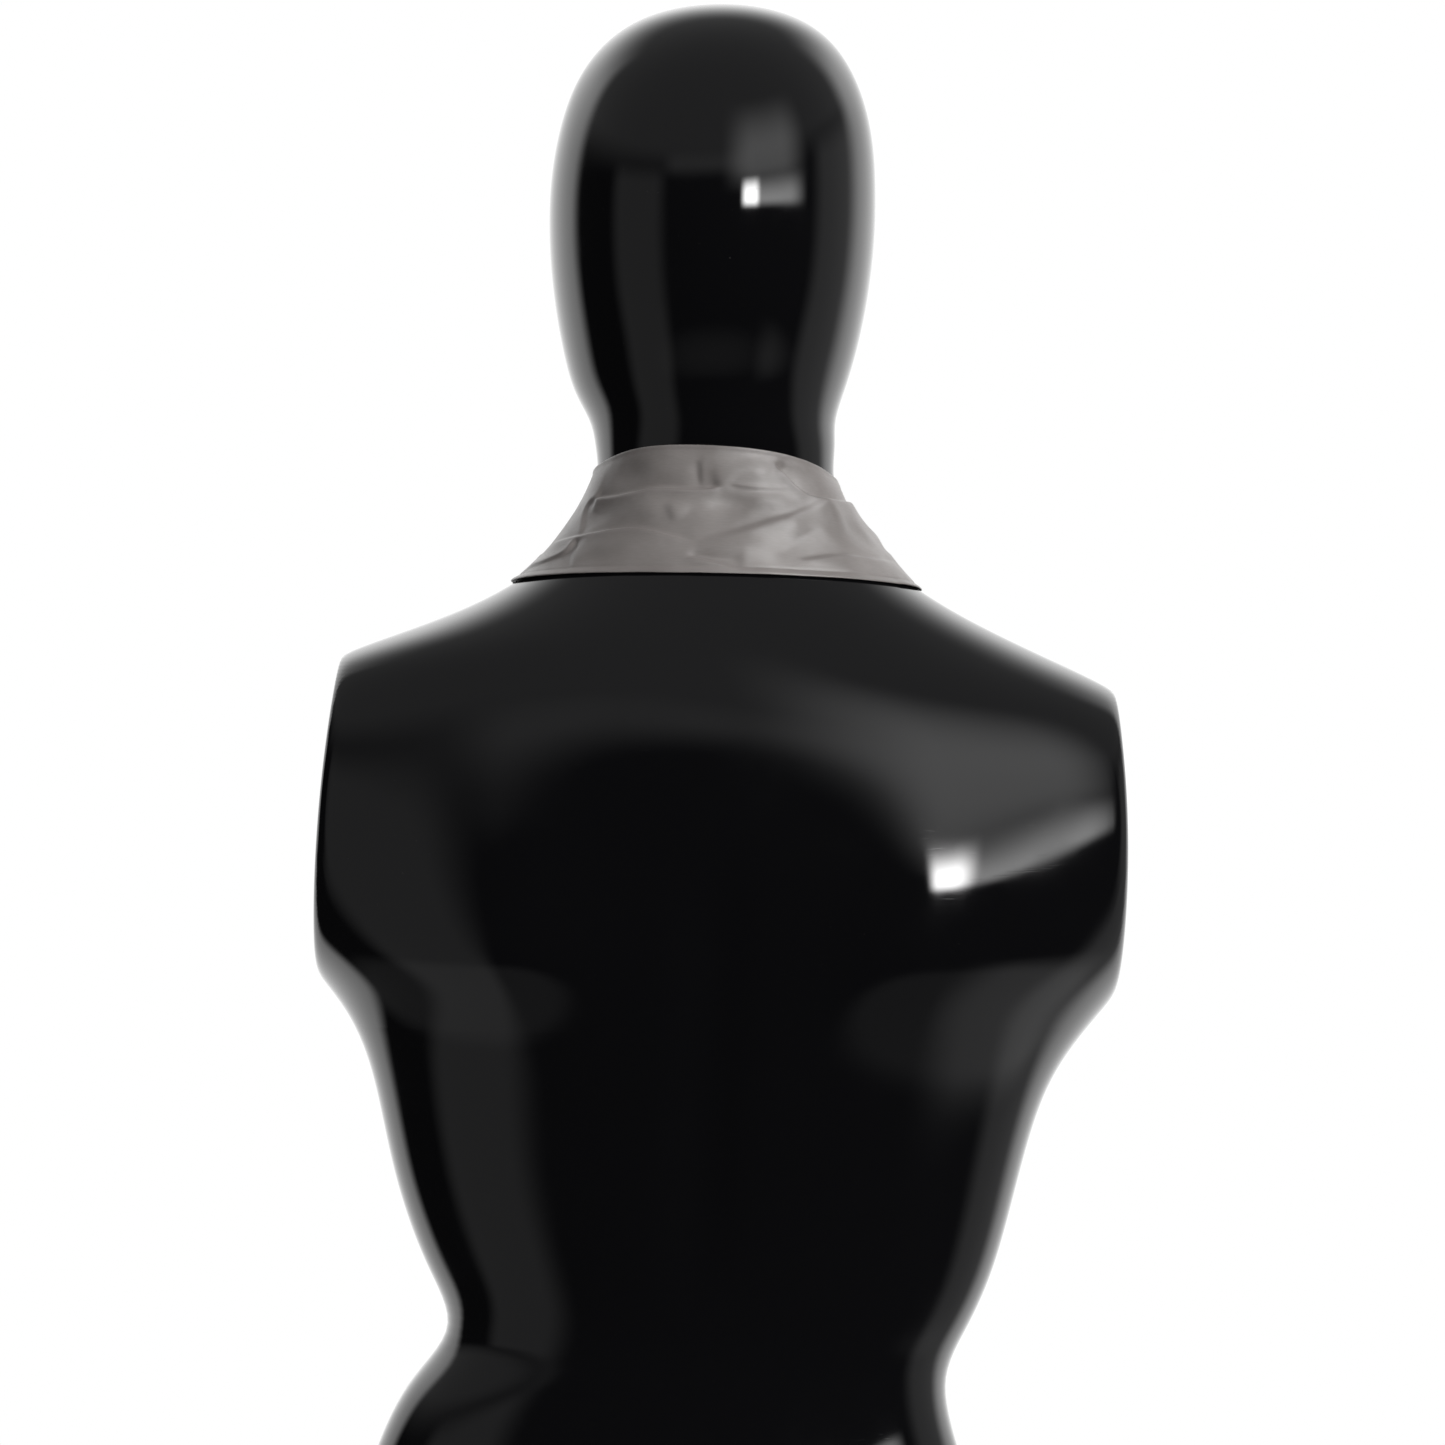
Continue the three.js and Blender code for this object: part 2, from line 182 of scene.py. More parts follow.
def cloth_uvs(grid, loop_size):
    """The cloth laid out flat, in metres: along its columns and across its rows."""
    along = distance_along(grid[:, grid.shape[1] // 2])
    across = distance_along(grid[len(grid) // 2])
    round_loop = np.concatenate([across, np.full(EDGE_POINTS, across[-1]), across[::-1],
                                 np.full(EDGE_POINTS, across[0])])
    flat = np.empty((len(grid), loop_size, 2))
    flat[..., 0] = along[:, None]
    flat[..., 1] = round_loop[None, :]
    return flat.reshape(-1, 2) * MM


# ---------- the form ----------
# Height, reach to the left, reach to the right, how far forward the middle of the section lies,
# depth behind that middle, depth before it, and the fullness, where 2 is an ellipse.
FORM_SECTIONS = np.array([
    [0, 196, 141, 0, 88, 94, 2.4],          # base, through the hips
    [60, 191, 136, 0, 81, 96, 2.4],
    [110, 177, 119, 0, 76.5, 96, 2.35],
    [145, 160, 110, 0, 76.5, 95, 2.3],
    [170, 133, 125, 0, 75, 94, 2.3],        # waist
    [200, 151, 139, 0, 78, 95, 2.3],
    [245, 167, 150, -2, 85, 100, 2.35],
    [290, 175, 162, -4, 93, 110, 2.35],
    [318, 183, 180, -6, 98, 117, 2.25],
    [342, 197, 202, -8, 101, 122, 2.15],    # under the arms
    [370, 224, 224, -10, 103, 125, 2.1],
    [410, 243, 240, -12, 104, 124, 2.05],   # chest and shoulder blades
    [452, 243, 240, -14, 101, 116, 2],
    [486, 230, 218, -15, 95, 103, 2],
    [509, 207, 168, -16, 88, 92, 2],
    [526, 155, 132, -16, 80, 82, 2],        # shoulders
    [540, 120, 107, -16, 72, 73, 2],
    [554, 97, 87, -15, 63, 66, 2],
    [570, 78, 71, -13, 55, 63, 2],
    [588, 65.5, 58.5, -9, 50, 61, 2],       # neck
    [606, 63, 56, -3, 52.5, 61, 2],
    [620, 65, 58, 3, 60, 72, 2],
    [632, 67, 57, 8, 67.5, 92, 2],
    [646, 76, 62, 11, 73.5, 101, 2],        # jaw and nape
    [664, 81, 68, 12, 82, 106, 2.05],
    [690, 86, 74, 12, 92, 110, 2.1],
    [720, 89, 78, 12, 96, 113, 2.1],
    [752, 89, 79, 12, 96, 112, 2.1],        # widest part of the head
    [782, 84, 77, 12, 90, 104, 2.1],
    [808, 75, 69, 12, 78, 88, 2.05],
    [828, 59, 56, 12, 59, 66, 2],
    [840, 39, 37, 12, 36, 40, 2],
    [845.5, 14, 13, 12, 13, 14, 2],         # crown
])
# Past the crown the skin runs down its other side, which is the same section turned about.
MIRRORED_COLUMNS = np.array([1, -1, -1, 1, -1, -1, 1])
FORM_ROWS = np.vstack([
    2 * FORM_SECTIONS[0] - FORM_SECTIONS[1],
    FORM_SECTIONS,
    FORM_SECTIONS[-1] * MIRRORED_COLUMNS,
    FORM_SECTIONS[-2] * MIRRORED_COLUMNS,
])
CROWN = len(FORM_SECTIONS) - 0.5    # spans from the base to the crown's closing point
SPANS = np.linspace(0, CROWN, 4000)
SPAN_HEIGHTS = spline(FORM_ROWS, SPANS)[:, 0]

ARM_CUTS = [
    {"side": -1, "reach": 206, "height": 375, "dome": 700},
    {"side": 1, "reach": 205.5, "height": 415, "dome": 440},
]
ARM_CUT_DEPTH = -12             # y of the middle of each arm cut
ARM_CUT_SPAN = (300, 560)       # heights between which the cuts can reach
ARM_EDGE = 1.5                  # softness of the edge round each cut
BASE_EDGE = 3                   # radius round the base
BASE_EDGE_RINGS = 4
BASE_FLAT = 0.97                # the last ring under the base, as a share of its outline

# The shoulder blades stand out from the sections, and the spine lies in a shallow furrow.
BLADE = {"height": 366, "reach": 10.5, "above": 62, "below": 36,
         "from_spine": 112, "towards_arm": 120, "towards_spine": 48}
FURROW = {"depth": 5.2, "width": 13, "starts": (170, 250), "ends": (360, 430)}
SPINE = {"low": -14, "sway": 11, "heights": (150, 420)}
BACK_FROM = -20                 # y where that relief starts, behind the form's sides
BACK_FULL = -70                 # y from where it is at its full depth

FORM_COLUMNS = 260
SIDE_CROWDING = 0.3             # how much the columns crowd towards the form's two sides
RING_RUNS = [                   # heights from and to, and the step between two rings
    (BASE_EDGE, 326, 4.6),
    (326, 536, 2.0),            # the arm cuts and shoulders
    (536, 806, 3.6),
]
CROWN_RINGS = 34
CROWN_GAP = 0.03                # spans left open round the crown's closing point


def form_spans(height):
    return np.interp(height, SPAN_HEIGHTS, SPANS)


def form_skin(u, angle):
    """Points of the form's skin at spans u and angles round it, before the arms are cut."""
    rows = spline(FORM_ROWS, u)
    height, left, right, middle, back, front, fullness = np.moveaxis(rows, -1, 0)
    x = (right - left) / 2 + (right + left) / 2 * rounded_power(np.cos(angle), fullness)
    along = rounded_power(np.sin(angle), fullness)
    y = middle + np.where(along < 0, back, front) * along
    return x, y, height + 0 * x


def back_relief(x, height):
    """How far the skin of the back stands out from the plain section: spine and shoulder blades."""
    spine = SPINE["low"] + SPINE["sway"] * smooth_step(*SPINE["heights"], height)
    furrow = -FURROW["depth"] * np.exp(-((x - spine) / FURROW["width"]) ** 2)
    furrow = furrow * smooth_step(*FURROW["starts"], height)
    furrow = furrow * (1 - smooth_step(*FURROW["ends"], height))
    from_blade = height - BLADE["height"]
    up = from_blade / np.where(from_blade > 0, BLADE["above"], BLADE["below"])
    blades = 0
    for side in (-1, 1):
        across = side * (x - spine) - BLADE["from_spine"]
        across = across / np.where(across > 0, BLADE["towards_arm"], BLADE["towards_spine"])
        blades = blades + BLADE["reach"] * np.exp(-across ** 2 - up ** 2)
    return furrow + blades


def cut_arms(x, y, height):
    """Limits the skin to the dome of each arm cut, round a softened edge."""
    for cut in ARM_CUTS:
        from_middle = (height - cut["height"]) ** 2 + (y - ARM_CUT_DEPTH) ** 2
        limit = cut["reach"] - from_middle / (2 * cut["dome"])
        past = cut["side"] * x
        soft = limit - ARM_EDGE * np.logaddexp(0, (limit - past) / ARM_EDGE)
        near_arm = (height > ARM_CUT_SPAN[0]) & (height < ARM_CUT_SPAN[1]) & (past > 0)
        x = np.where(near_arm, cut["side"] * soft, x)
    return x


def chest_depth(x, height):
    """How far forward the front of the form reaches at a place on the chest."""
    rows = spline(FORM_ROWS, form_spans(height))
    left, right, middle, _, front, fullness = np.moveaxis(rows, -1, 0)[1:]
    across = np.abs((x - (right - left) / 2) / ((right + left) / 2))
    return middle + front * (1 - np.minimum(across, 1) ** fullness) ** (1 / fullness)


def build_form(material):
    even = np.linspace(0, 2 * math.pi, FORM_COLUMNS, endpoint=False)
    angles = even - SIDE_CROWDING * np.sin(2 * even)
    heights = np.concatenate([np.arange(*run) for run in RING_RUNS])
    crown_spans = np.linspace(form_spans(heights[-1]), CROWN - CROWN_GAP, CROWN_RINGS)[1:]
    spans = np.concatenate([form_spans(heights), crown_spans])
    x, y, height = form_skin(spans[:, None], angles[None, :])
    relief = back_relief(x, height) * smooth_step(BACK_FROM, BACK_FULL, y)
    y = np.where(y < BACK_FROM, y - relief, y)
    x = cut_arms(x, y, height)
    skin = np.stack([x, y, height], axis=2)
    rings = np.concatenate([base_rings(skin[0]), skin])
    return lofted_piece("form_skin", rings, material)


def base_rings(first):
    """The rounded edge under the form, from its flat base up to the first ring of its skin."""
    middle = first.mean(axis=0)
    outward = first - middle
    outward /= np.linalg.norm(outward, axis=1, keepdims=True)
    rings = []
    for swing in np.linspace(0, math.pi / 2, BASE_EDGE_RINGS + 1)[:-1]:
        ring = first - outward * BASE_EDGE * (1 - math.sin(swing))
        ring[:, 2] = BASE_EDGE * (1 - math.cos(swing))
        rings.append(ring)
    flat = middle + BASE_FLAT * (rings[0] - middle)
    flat[:, 2] = 0
    return np.stack([flat] + rings)


# ---------- the band round the neck ----------
# The right half of the hem and of the folded top edge, from the back of the neck round to the
# throat, as spline points from the neck's own middle.
HEM_HALF = [
    [0, -82.6, 552.3], [40.1, -77.2, 552.1], [74, -61.7, 551.1],
    [97.1, -40.2, 549.4], [106.4, -14, 547.6], [100.2, 16, 546.1],
    [82.6, 40.6, 542], [50, 61, 539], [12, 68, 547],
]
FOLD_HALF = [
    [0, -61.5, 616], [26, -58, 615.4], [46, -46, 611.8],
    [59.5, -26, 605.6], [64.4, 0, 600.6], [60, 25, 594.5],
    [48, 44, 586.5], [32, 56, 578], [11, 63, 566],
]
NECK_SHIFT = -3                 # the neck stands a little to the left of the base's middle
NECK_MIDDLE = [NECK_SHIFT, -8, 0]
HEM_TILT = -0.021               # the scarf hangs a little lower on the right
FOLD_TILT = -0.054
HALF_SPANS = len(HEM_HALF) - 1
HOLLOW = 4                      # how far the band draws in between its two edges
HOLLOW_LEFT = 2                 # and how much more on the left than on the right
HOLLOW_LOW = 0.35               # and how much more below its middle than above
HOLLOW_FADE = 24                # degrees from the throat where it starts to flatten
BAND_RISE = 68                  # hem to fold, up the cloth at the back of the neck
BAND_WALL = 0.8
MM_PER_DEGREE = 1.35            # round the neck, along the cloth


def whole_edge(half, tilt):
    """An edge of the band all the way round, from the throat by the left and back to it."""
    left = [[-x, y, z] for x, y, z in half[:0:-1]]
    points = np.array(left + half, float)
    points[:, 2] += tilt * points[:, 0]
    points[:, 0] += NECK_SHIFT
    return extend_ends(points)


HEM_EDGE = whole_edge(HEM_HALF, HEM_TILT)
FOLD_EDGE = whole_edge(FOLD_HALF, FOLD_TILT)


def band_surface(turn, share):
    """The band's outer face, before its creases, at a turn round the neck and a share up."""
    spans = (turn / 180 + 1) * HALF_SPANS
    hem = spline(HEM_EDGE, spans)
    point = hem + (spline(FOLD_EDGE, spans) - hem) * share[..., None]
    outward = (point - np.array(NECK_MIDDLE)) * np.array([1, 1, 0])
    outward /= np.linalg.norm(outward, axis=-1, keepdims=True)
    towards_front = np.radians(np.maximum(np.abs(turn) - 90, 0))
    leftness = np.clip(-turn / 90, -1, 1) * np.cos(towards_front)
    clear_of_knot = smooth_step(0, HOLLOW_FADE, 180 - np.abs(turn))
    hollow = (HOLLOW + HOLLOW_LEFT * leftness) * clear_of_knot
    drawn_in = hollow * 4 * share * (1 - share) * (1 - HOLLOW_LOW * (share - 0.5))
    return point - outward * drawn_in[..., None]


def crease(line, left, right, edge=1.0, taper=8):
    """A fold line [turn, rise, strength] with the height and reach of the cloth on each side.

    A positive height is a rounded ridge beside the line, and a negative one a tuck that runs
    into it.
    """
    return {"line": line, "left": left, "right": right, "edge": edge, "taper": taper}


# Each line runs from left to right or from top to bottom; "left" is the side to the left of
# that way, so it is above a line that runs to the right.
CREASES = [
    # the long fold under the top edge, which curls down round the pocket on the left
    crease([[-60, 45.4, 0.7], [-54, 44.6, 1], [-47, 44.2, 1], [-40, 44.2, 1], [-33, 44.9, 1],
            [-27, 46, 1], [-20, 45.8, 1], [-11, 45, 1], [-5, 45.2, 1], [2, 46.8, 0.9]],
           (-2.4, 6), (1.0, 4.5), 0.7, 5),
    crease([[-56, 44.8, 1], [-62, 44.8, 1], [-64, 41.8, 1], [-62, 36.5, 1], [-58.5, 30.5, 1],
            [-56, 26, 1], [-55, 22.8, 1]], (-1.2, 8), (0.4, 4), 1.5, 5),
    # the ridge under the pocket, running on to the middle
    crease([[-84, 21, 0.2], [-66, 22.5, 0.7], [-55, 23, 1], [-48, 23.6, 1], [-41, 24.3, 1],
            [-34, 24.8, 1], [-27, 24.2, 1], [-22, 22.5, 0.9], [-17, 20.5, 0.8], [-11, 18.3, 0.8],
            [-7, 17, 0.6]], (-1.7, 7), (0.7, 4.5), 0.8, 8),
    # the broad fold that climbs to the right
    crease([[-9, 17.3, 0.5], [-2, 18.5, 0.9], [4, 21.2, 1], [10, 24.4, 1], [16, 27.5, 1],
            [24, 32, 1], [32, 36.8, 1], [40, 41.8, 1], [46, 45.8, 1], [53, 48.6, 0.7]],
           (-0.2, 7), (1.0, 9), 2.4, 10),
    # the tuck behind it at the right, down to the notch in the outline
    crease([[25, 62, 0.4], [28, 59.6, 0.8], [31, 56.4, 1], [33.5, 52.8, 1.2], [36, 49.8, 1.2],
            [40, 47.8, 1], [46, 47.2, 0.9], [56, 49, 0.9], [69, 53, 0.5], [82, 56, 0.4],
            [108, 57, 0.3]], (-5.0, 6), (1.8, 6), 0.9, 6),
    # the small crisp step between them
    crease([[4, 48.2, 0.8], [8, 46.8, 1], [14, 46.2, 1], [22, 46.2, 1], [31, 48.6, 0.7]],
           (0.3, 4), (-0.4, 4), 0.8, 6),
    # the upright crease beside the middle of the back, and the ridge of the flat beside it
    crease([[-7.3, 61, 0.6], [-6.8, 53, 1], [-6.2, 46, 1]], (0.2, 2.5), (-1.3, 4), 0.8, 4),
    crease([[-8, 61, 0.6], [-3, 58, 1], [2, 54.5, 1], [5, 51, 1], [7, 48, 0.8]],
           (0.9, 9), (0.9, 7.5), 2, 5),
    # the short groove in the middle
    crease([[-18.4, 39.4, 0.7], [-16.8, 35.2, 1], [-15.2, 31, 1], [-13.2, 27, 0.7]],
           (1.2, 7), (1.2, 2.4), 0.8, 5),
    # near the hem
    crease([[-10, 8.6, 0.7], [-4.5, 7.5, 1], [0, 5.8, 1], [4, 4, 1], [8, 3, 0.8]],
           (-2.0, 5), (1.2, 4), 0.8, 5),
    crease([[-56, 21, 1], [-55.4, 17.5, 1], [-55.2, 14.4, 1], [-57.6, 11.6, 1], [-62, 9.7, 1],
            [-68, 8, 0.8], [-80, 6.6, 0.6]], (-2.2, 4), (1.0, 4), 0.5, 3),
    crease([[-55, 14.5, 1], [-51, 8.8, 1], [-46.5, 1.6, 1]], (0.4, 5), (-1.4, 6), 1.2, 5),
    crease([[24, 8.6, 0.6], [32, 11.2, 1], [39, 13.2, 1], [46, 14.6, 1], [54, 15, 1],
            [80, 16.5, 0.4]], (-1.0, 6), (0.5, 5), 1.2, 9),
    crease([[17, 8.6, 0.6], [23, 14.5, 1], [30, 21.8, 1], [40, 29.8, 0.5]],
           (-1.3, 5), (-1.3, 5), 2, 9),
    # round to the throat on the right
    crease([[74, 34, 0.3], [92, 35, 0.7], [120, 35, 1], [150, 33, 1], [186, 31, 1]],
           (2.0, 6), (2.0, 6), 2, 16),
    crease([[80, 25, 0.3], [100, 22, 0.8], [130, 20, 1], [160, 21, 1], [186, 24, 1]],
           (-2.1, 5), (0.8, 4), 1.0, 14),
    crease([[92, 11, 0.4], [120, 10, 1], [150, 12, 1], [186, 15, 1]],
           (1.8, 4.5), (1.8, 4.5), 2, 14),
    crease([[100, 58, 0.4], [122, 56, 1], [146, 51, 1], [186, 42, 1]],
           (-1.4, 4), (0.6, 5), 1.0, 12),
    crease([[120, 45, 0.5], [150, 43, 1], [186, 37, 1]], (-1.4, 3.5), (0.5, 3.5), 1.2, 12),
    # round to the throat on the left
    crease([[-186, 33, 1], [-150, 35, 1], [-122, 41, 0.8], [-98, 40, 0.3]],
           (2.0, 6), (2.0, 6), 2, 16),
    crease([[-186, 22, 1], [-154, 21, 1], [-124, 25, 0.9], [-96, 20, 0.6], [-80, 15, 0.3]],
           (-2.1, 5), (0.8, 4), 1.0, 14),
    crease([[-186, 13, 1], [-150, 10, 1], [-118, 12, 0.8], [-90, 10, 0.3]],
           (1.8, 4.5), (1.8, 4.5), 2, 14),
    crease([[-186, 44, 1], [-148, 49, 1], [-116, 57, 0.8], [-92, 59, 0.4]],
           (-1.5, 4), (0.6, 4), 1.0, 12),
    crease([[-186, 38, 1], [-152, 43, 1], [-130, 48, 0.5]], (-1.2, 3.5), (0.4, 3.5), 1.2, 12),
]

# Shallow dents and swells: turn, rise, depth, width round the neck and width up the cloth.
DENTS = [
    [5, 37, -2.2, 10, 6],
    [-50, 34, -1.6, 12, 8],
    [-26, 35, 1.3, 12, 7],
    [22, 40, 1.2, 10, 5],
    [-60, 3, -1.8, 8, 6],
    [16, 56, 1.5, 13, 6],
    [49, 41, 1.7, 12, 7],
    [61, 30, -1.6, 9, 9],
    [-40, 54, -1.4, 12, 6],
    [-33, 14, 1.4, 16, 7],
    [-2, 12, 1.3, 12, 4],
    [10, 14, 1.2, 11, 6],
    [26, 28, 1.0, 9, 5],
    [42, 57, -1.0, 8, 6],
    [38, 6, 0.8, 14, 5],
]

CREASE_DEPTH = 1.05             # the creases and dents are this many times their listed height
CREASE_POINTS = 8               # close points on each span of a crease's line
KNOT_FADE = 14                  # degrees from the throat where the creases start to flatten
HEM_FADE = (-3, 8)              # distances from the hem over which the creases come in
FOLD_FADE = (0, 8)              # and from the folded top edge
ROOM_AT_HEM = 0.05              # how far a tuck may sink towards the form, at the hem
ROOM_PER_RISE = 0.075           # and how much further for each millimetre up from it
SOFTENING = 2                   # times that the creases are smoothed into each other
BAND_RIPPLES = [(21, 0.5), (8, 0.16)]   # size and depth of the soft unevenness
FOLD_ROLL = 0.45                # how far the folded top edge rounds out
FOLD_WIDTH = 1.6
HEM_ROLL = 0.55                 # how far the rolled hem stands out
HEM_FULL = 0.4                  # the roll is at its fullest up to here from the edge
HEM_WIDTH = 1.5
STITCH_LINE = 3.4               # from the hem's edge
STITCH_DEPTH = 0.22
STITCH_WIDTH = 0.55

BACK_TURN = 108                 # the finer columns reach this many degrees to each side
BACK_COLUMNS = 301
FRONT_COLUMNS = 62              # from there round to the throat, on each side
BAND_ROWS = 92
FINE_ROW = 0.5                  # step between the rows beside both edges
FINE_AT_HEM = 5                 # how far up from the hem those rows go
FINE_AT_FOLD = 2                # and how far down from the fold


def fine_line(line):
    """A crease's line as close points: millimetres round, millimetres up and strength."""
    rows = extend_ends(np.array(line, float) * np.array([MM_PER_DEGREE, 1, 1]))
    spans = len(line) - 1
    return spline(rows, np.linspace(0, spans, CREASE_POINTS * spans + 1))


def crease_relief(fold, flat):
    """Height of the cloth near a fold, at flat places [round, up] in millimetres."""
    points = fine_line(fold["line"])
    steps = np.linalg.norm(np.diff(points[:, :2], axis=0), axis=1)
    reached = np.insert(np.cumsum(steps), 0, 0)
    away = np.full(flat.shape[:2], np.inf)
    signed = np.zeros(flat.shape[:2])
    along = np.zeros(flat.shape[:2])
    for k in range(len(steps)):
        run = points[k + 1, :2] - points[k, :2]
        to = flat - points[k, :2]
        share = np.clip((to @ run) / (run @ run), 0, 1)
        distance = np.linalg.norm(to - share[..., None] * run, axis=2)
        side = np.sign(run[0] * to[..., 1] - run[1] * to[..., 0])
        closer = distance < away
        away = np.where(closer, distance, away)
        signed = np.where(closer, distance * side, signed)
        along = np.where(closer, reached[k] + share * steps[k], along)

    def beside(height, reach):
        """A rounded ridge where the height is positive, else a tuck that comes to a point."""
        if height > 0:
            return height * np.exp(-(away / reach) ** 2)
        return height * np.exp(-away / reach)

    on_left = smooth_step(-fold["edge"], fold["edge"], signed)
    taper = smooth_step(0, fold["taper"], along)
    taper = taper * smooth_step(0, fold["taper"], reached[-1] - along)
    strength = np.interp(along, reached, points[:, 2]) * taper
    return strength * (on_left * beside(*fold["left"]) + (1 - on_left) * beside(*fold["right"]))


def soften(values, passes):
    """Averages each value with its neighbours, along both ways of a grid."""
    for _ in range(passes):
        for axis in (0, 1):
            padded = np.pad(values, [(1, 1) if k == axis else (0, 0) for k in (0, 1)], mode="edge")
            values = (np.delete(padded, (-1, -2), axis) + 2 * values
                      + np.delete(padded, (0, 1), axis)) / 4
    return values


def band_relief(turn, rise):
    """Height of all the creases and dents of the band, as they are listed."""
    flat = np.stack([turn * MM_PER_DEGREE, rise], axis=2)
    relief = sum(crease_relief(fold, flat) for fold in CREASES)
    for at_turn, at_rise, depth, wide, high in DENTS:
        across = (turn - at_turn) * MM_PER_DEGREE / wide
        relief = relief + depth * np.exp(-across ** 2 - ((rise - at_rise) / high) ** 2)
    return relief


def soft_ripples(grid, size, depth):
    """Shallow unevenness that every hung silk has, the same on each run."""
    places = grid.reshape(-1, 3) / size
    heights = np.array([noise.noise(Vector(place)) for place in places])
    return depth * heights.reshape(grid.shape[:2])


def hem_relief(from_edge):
    """The rolled edge of a hem and the line of stitches beside it."""
    roll = HEM_ROLL * np.exp(-(np.maximum(from_edge - HEM_FULL, 0) / HEM_WIDTH) ** 2)
    stitches = -STITCH_DEPTH * np.exp(-((from_edge - STITCH_LINE) / STITCH_WIDTH) ** 2)
    return roll + stitches


def build_band(material):
    """Finer columns at the back, where the cloth is seen closest, and finer rows at the edges."""
    back = np.linspace(-BACK_TURN, BACK_TURN, BACK_COLUMNS)
    left_front = np.linspace(-180, -BACK_TURN, FRONT_COLUMNS)[:-1]
    turns = np.concatenate([left_front, back, -left_front[::-1]])
    rises = np.concatenate([
        np.arange(0, FINE_AT_HEM, FINE_ROW),
        np.linspace(FINE_AT_HEM, BAND_RISE - FINE_AT_FOLD, BAND_ROWS),
        np.arange(BAND_RISE - FINE_AT_FOLD + FINE_ROW, BAND_RISE + FINE_ROW, FINE_ROW),
    ])
    turn, rise = np.meshgrid(turns, rises, indexing="ij")
    from_fold = BAND_RISE - rise
    grid = band_surface(turn, rise / BAND_RISE)
    clear_of_edges = smooth_step(*HEM_FADE, rise) * smooth_step(*FOLD_FADE, from_fold)
    clear_of_knot = smooth_step(0, KNOT_FADE, 180 - np.abs(turn))
    relief = CREASE_DEPTH * band_relief(turn, rise) * clear_of_edges * clear_of_knot
    relief = soften(relief, SOFTENING)
    for size, depth in BAND_RIPPLES:
        relief = relief + soft_ripples(grid, size, depth)
    room = ROOM_AT_HEM + ROOM_PER_RISE * rise
    relief = np.where(relief < 0, room * np.tanh(relief / room), relief)
    relief += hem_relief(rise) + FOLD_ROLL * np.exp(-(from_fold / FOLD_WIDTH) ** 2)
    grid = grid + surface_normals(grid) * relief[..., None]
    return cloth_piece("scarf_band", grid, BAND_WALL, material)


# ---------- the tails on the chest ----------
# A tail's "end" is the height of its lower hem, "lean" how far it goes sideways for each
# millimetre down, and "top" and "half_width" its half width at the knot and below.
TAIL_UNDER = {"end": 352, "lean": -0.2, "half_width": 34, "top": 12}
TAIL_OVER = {"end": 334, "lean": 0.1, "half_width": 35, "top": 12}
TAIL_TOP = 527                  # where both come out under the knot
TAIL_WALL = 1.0
REST = 1.2                      # from the form's skin to the cloth that lies on it
LAYER = 3.4                     # from the under tail's outer face to the over tail's
LAYER_EDGE = (4, 18)            # distances past the under tail's edge where the over one comes down
INTO_KNOT = 8                   # how far each tail runs on up inside the knot
WIDENING = (-25, 75)            # distances below the knot over which a tail spreads
FAN_HEIGHT = 562                # the tails' pleats all run from this point behind the knot
FAN_PLEAT = 13                  # degrees from one pleat to the next
FAN_DEPTH = 3.2                 # how much deeper the pleats are at the knot than at the ends
FAN_LEAST = 0.5                 # their depth at the ends
FAN_FADE = (50, 210)            # distances from that point over which they grow shallow
UNEVEN_ACROSS = (2.2, 7, 40)    # degrees that a pleat strays: how many, how often, from where
UNEVEN_DOWN = (1.5, 38)         # and down its length: how many, and over what length
TAIL_RIPPLE = (26, 0.7)         # size and depth of the soft unevenness
RIPPLE_FADE = (0, 40)           # distances below the knot over which it comes in
HEM_COMES_IN = (-4, 12)         # and the same for the hems
TAIL_HEM = 6                    # how far up from the lower hem the finer rows go
TAIL_HEM_ROW = 0.6              # step between those rows
TAIL_ROW = 1.5                  # step between the others
SIDE_HEM = 0.12                 # share of the half width that the finer columns take up
SIDE_HEM_COLUMN = 0.018         # step between those columns
TAIL_COLUMNS = 30               # the others, in each half


def fan_relief(x, height):
    """Pleats that fan out from behind the knot and grow shallow on the way down."""
    distance = np.hypot(x - NECK_SHIFT, FAN_HEIGHT - height)
    bearing = np.degrees(np.arctan2(x - NECK_SHIFT, FAN_HEIGHT - height))
    depth = FAN_DEPTH * (1 - smooth_step(*FAN_FADE, distance)) + FAN_LEAST
    degrees_across, rate, offset = UNEVEN_ACROSS
    degrees_down, length = UNEVEN_DOWN
    uneven = bearing + degrees_across * np.sin(np.radians(bearing * rate + offset))
    uneven = uneven + degrees_down * np.sin(distance / length)
    return depth * (0.5 + 0.5 * np.cos(2 * math.pi * uneven / FAN_PLEAT))


def tail_spread(tail, height):
    """The middle and half width of a tail at a height, both in x."""
    down = TAIL_TOP - height
    half_width = tail["top"] + (tail["half_width"] - tail["top"]) * smooth_step(*WIDENING, down)
    return NECK_SHIFT + tail["lean"] * down, half_width


def no_lift(x, height):
    return 0 * x


def over_tail_lift(x, height):
    """The over tail climbs onto the under tail where the two cross."""
    middle, half_width = tail_spread(TAIL_UNDER, height)
    return LAYER * (1 - smooth_step(*LAYER_EDGE, x - middle - half_width))


